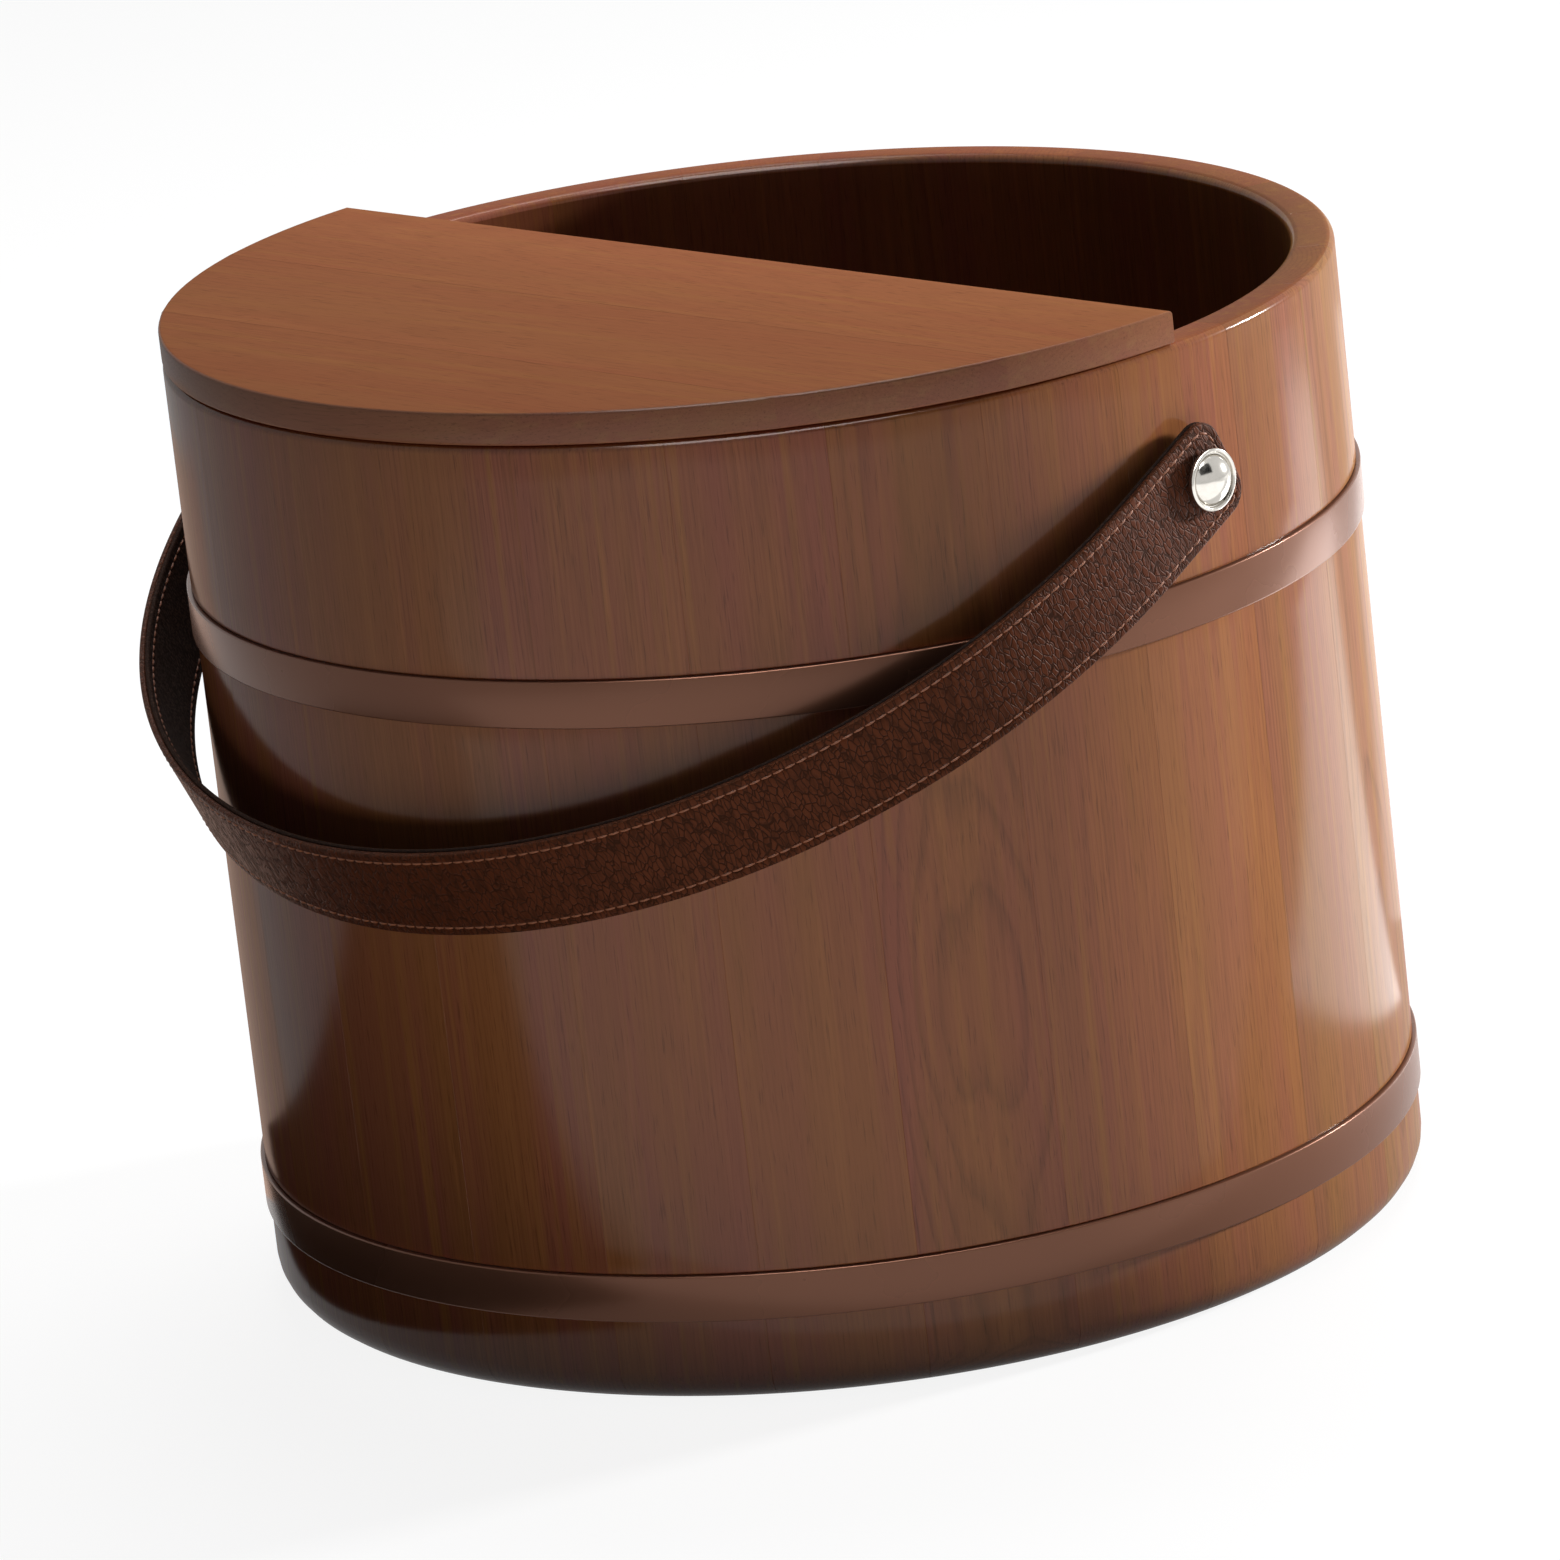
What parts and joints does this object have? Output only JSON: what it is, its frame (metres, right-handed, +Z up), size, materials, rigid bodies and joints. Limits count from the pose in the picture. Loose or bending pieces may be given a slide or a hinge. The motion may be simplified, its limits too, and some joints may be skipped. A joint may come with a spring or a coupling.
{
  "type": "wooden foot soak bucket",
  "caption": "Staved wooden foot soak bucket with flat let-in hoops, a half lid that lifts off, and a leather carrying strap that swings on domed studs.",
  "frame": {"origin": "on the axis of the bucket, at the floor, in the middle of the ring of the foot", "axes": "+Z up along the bucket's axis, X through the strap's studs, -Y towards the lid and the hanging strap"},
  "size_m": [0.4304, 0.4253, 0.3412],
  "materials": {
    "wall_wood": "stained walnut brown, satin lacquer",
    "base_wood": "stained dark brown, satin lacquer",
    "lid_wood": "stained warm brown, satin lacquer",
    "batten_wood": "stained brown, satin lacquer",
    "pin_wood": "bare turned wood",
    "hoop_paint": "brown satin paint on steel band",
    "stud_chrome": "polished chrome",
    "plain_steel": "plain zinc-grey steel",
    "strap_leather": "dark brown pebbled leather with reddish stitching",
    "strap_lining": "dark brown smooth split leather"
  },
  "bodies": {
    "bucket": {"stave_01": "wall_wood", "stave_02": "wall_wood", "stave_03": "wall_wood", "stave_04": "wall_wood", "stave_05": "wall_wood", "stave_06": "wall_wood", "stave_07": "wall_wood", "stave_08": "wall_wood", "stave_09": "wall_wood", "stave_10": "wall_wood", "stave_11": "wall_wood", "stave_12": "wall_wood", "stave_13": "wall_wood", "stave_14": "wall_wood", "stave_15": "wall_wood", "stave_16": "wall_wood", "stave_17": "wall_wood", "stave_18": "wall_wood", "stave_19": "wall_wood", "stave_20": "wall_wood", "stave_21": "wall_wood", "stave_22": "wall_wood", "stave_23": "wall_wood", "stave_24": "wall_wood", "base_plank_1": "base_wood", "base_plank_2": "base_wood", "base_plank_3": "base_wood", "base_plank_4": "base_wood", "right_stud": "stud_chrome", "right_cap_nut": "stud_chrome", "right_spacer": "plain_steel", "right_washer": "plain_steel", "left_stud": "stud_chrome", "left_cap_nut": "stud_chrome", "left_spacer": "plain_steel", "left_washer": "plain_steel", "stave_pins": "pin_wood", "base_pins": "pin_wood", "upper_hoop": "hoop_paint", "lower_hoop": "hoop_paint", "hoop_rivets": "hoop_paint"},
    "lid": {"lid_board_1": "lid_wood", "lid_board_2": "lid_wood", "lid_board_3": "lid_wood", "left_batten": "batten_wood", "right_batten": "batten_wood", "lid_screws": "plain_steel"},
    "strap": {"strap_leather": "strap_leather", "strap_lining": "strap_lining"}
  },
  "joints": [
    {"name": "strap_swing", "type": "hinge", "parent": "bucket", "child": "strap", "pos_m": [0, 0, 0.285], "axis": [-1, 0, 0], "range_deg": [0, 233.6]},
    {"name": "lid_lift", "type": "slide", "parent": "bucket", "child": "lid", "axis": [0, 0, 1], "range_m": [0, 0.15]}
  ]
}
